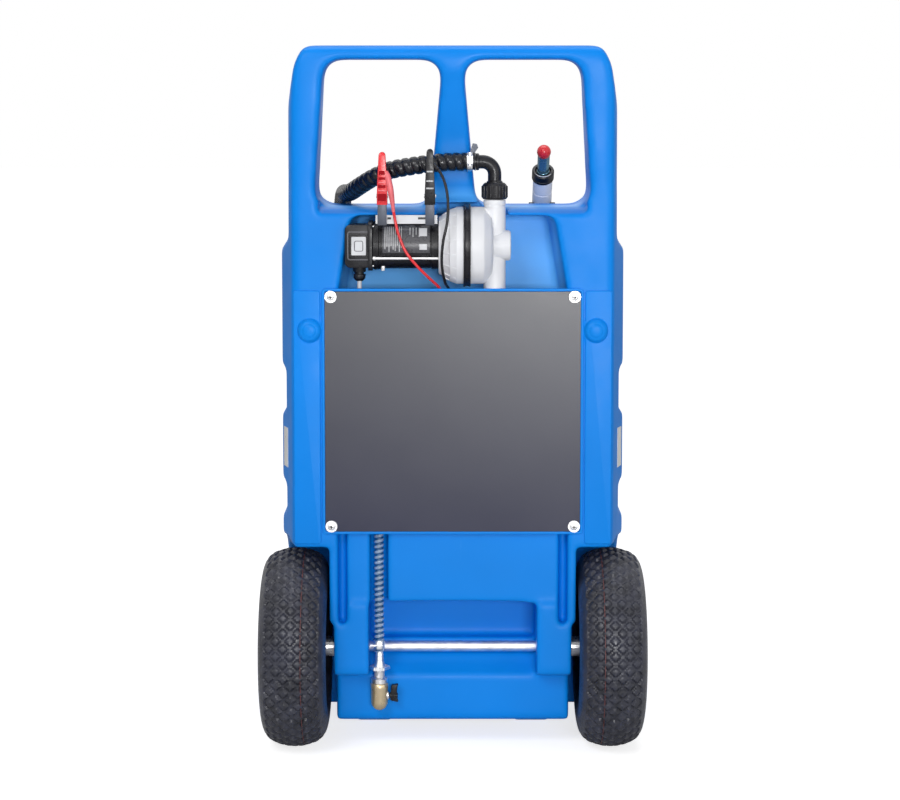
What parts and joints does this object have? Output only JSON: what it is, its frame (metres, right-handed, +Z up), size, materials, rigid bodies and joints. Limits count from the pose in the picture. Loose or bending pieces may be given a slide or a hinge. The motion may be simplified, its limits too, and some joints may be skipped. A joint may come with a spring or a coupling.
{
  "type": "wheeled fluid transfer tank",
  "caption": "Moulded tank on two pneumatic wheels with a windowed handle, an electric diaphragm pump, battery clamps, a coiled hose and a trigger nozzle.",
  "frame": {"origin": "on the floor below the middle of the object's box", "axes": "+Z up, +X to the operator's right, -Y towards the operator behind the handle"},
  "size_m": [0.573, 0.5306, 1.056],
  "materials": {
    "blue_shell": "moulded polyethylene, satin",
    "anthracite_sheet": "powder coated sheet, satin",
    "zinc": "zinc plated",
    "bright_steel": "bright, smooth",
    "black_plastic": "moulded, satin",
    "rubber": "matt rubber",
    "tyre_rubber": "block tread tyre",
    "white_plastic": "moulded, satin",
    "grey_plastic": "moulded, satin",
    "red_plastic": "moulded, glossy",
    "brass": "turned brass",
    "clear_hose": "translucent ribbed hose"
  },
  "bodies": {
    "chassis": {"tank_rear": "blue_shell", "tank_front": "blue_shell", "tank_deck": "blue_shell", "tank_handle": "blue_shell", "cover_plate": "anthracite_sheet", "plate_screw_1": "bright_steel", "plate_screw_2": "bright_steel", "plate_screw_3": "bright_steel", "plate_screw_4": "bright_steel", "pump_motor": "black_plastic", "tie_rod_front": "zinc", "tie_rod_rear": "zinc", "switch_box": "black_plastic", "cable_gland": "black_plastic", "pump_head_front": "white_plastic", "diaphragm": "rubber", "pump_head_cover": "white_plastic", "clamp_band": "black_plastic", "pump_foot": "zinc", "union_nut": "black_plastic", "outlet_elbow": "black_plastic", "hose_lead": "black_plastic", "hose_coil": "black_plastic", "hose_tail": "black_plastic", "hose_saddle": "black_plastic", "nozzle_cradle": "black_plastic", "clamp_rail": "zinc", "red_clamp_fixed": "red_plastic", "black_clamp_fixed": "black_plastic", "fuse_box": "black_plastic", "red_lead": "red_plastic", "black_lead": "black_plastic", "pump_cable": "grey_plastic", "battery_cable": "black_plastic", "suction_hose": "clear_hose", "suction_nipple": "zinc", "drain_valve": "brass", "axle": "zinc", "axle_spacer_left": "bright_steel", "axle_spacer_right": "bright_steel", "hub_cap_left": "bright_steel", "hub_cap_right": "bright_steel"},
    "wheel_left": {"tyre_left": "tyre_rubber", "rim_left": "grey_plastic", "wheel_bush_left": "black_plastic"},
    "wheel_right": {"tyre_right": "tyre_rubber", "rim_right": "grey_plastic", "wheel_bush_right": "black_plastic"},
    "valve_lever": {"valve_handle": "black_plastic"},
    "rocker": {"rocker_switch": "grey_plastic"},
    "red_jaw": {"red_clamp_jaw": "red_plastic"},
    "black_jaw": {"black_clamp_jaw": "black_plastic"},
    "nozzle": {"nozzle_body": "grey_plastic", "nozzle_collar": "black_plastic", "nozzle_spout": "bright_steel"},
    "trigger": {"nozzle_trigger": "black_plastic"},
    "nozzle_cap": {"dust_cap": "red_plastic"},
    "swivel": {"hose_swivel": "black_plastic"},
    "filler_lid": {"filler_cap": "black_plastic"},
    "rotor": {"pump_rotor": "zinc"}
  },
  "joints": [
    {"name": "wheel_left_spin", "type": "hinge", "parent": "chassis", "child": "wheel_left", "pos_m": [-0.2375, -0.1153, 0.15], "axis": [1, 0, 0], "continuous": true},
    {"name": "wheel_right_spin", "type": "hinge", "parent": "chassis", "child": "wheel_right", "pos_m": [0.2375, -0.1153, 0.15], "axis": [1, 0, 0], "continuous": true},
    {"name": "valve_handle_turn", "type": "hinge", "parent": "chassis", "child": "valve_lever", "pos_m": [-0.09, -0.1603, 0.085], "axis": [1, 0, 0], "range_deg": [0, 90]},
    {"name": "rocker_switch_tilt", "type": "hinge", "parent": "chassis", "child": "rocker", "pos_m": [-0.1379, -0.1873, 0.762], "axis": [1, 0, 0], "range_deg": [0, 12]},
    {"name": "red_clamp_open", "type": "hinge", "parent": "chassis", "child": "red_jaw", "pos_m": [-0.1033, -0.1883, 0.836], "axis": [-1, 0, 0], "range_deg": [0, 12], "stiffness_Nm_per_rad": 0.3},
    {"name": "black_clamp_open", "type": "hinge", "parent": "chassis", "child": "black_jaw", "pos_m": [-0.0334, -0.1883, 0.836], "axis": [-1, 0, 0], "range_deg": [0, 12], "stiffness_Nm_per_rad": 0.3},
    {"name": "nozzle_lift", "type": "slide", "parent": "chassis", "child": "nozzle", "axis": [0, 0, 1], "range_m": [0, 0.12]},
    {"name": "trigger_pull", "type": "hinge", "parent": "nozzle", "child": "trigger", "pos_m": [0.143, 0.18597, 0.78784], "axis": [-1, 0, 0], "range_deg": [0, 8], "stiffness_Nm_per_rad": 0.5},
    {"name": "dust_cap_pull", "type": "slide", "parent": "nozzle", "child": "nozzle_cap", "axis": [0, -0.7071, 0.7071], "range_m": [0, 0.04]},
    {"name": "hose_swivel_turn", "type": "hinge", "parent": "nozzle", "child": "swivel", "pos_m": [0.143, 0.2217, 0.6], "axis": [0, 0.3037, -0.9528], "continuous": true},
    {"name": "filler_cap_lift", "type": "slide", "parent": "chassis", "child": "filler_lid", "axis": [0, 0, 1], "range_m": [0, 0.06]},
    {"name": "pump_rotor_spin", "type": "hinge", "parent": "chassis", "child": "rotor", "pos_m": [0, -0.1603, 0.762], "axis": [1, 0, 0], "continuous": true}
  ]
}
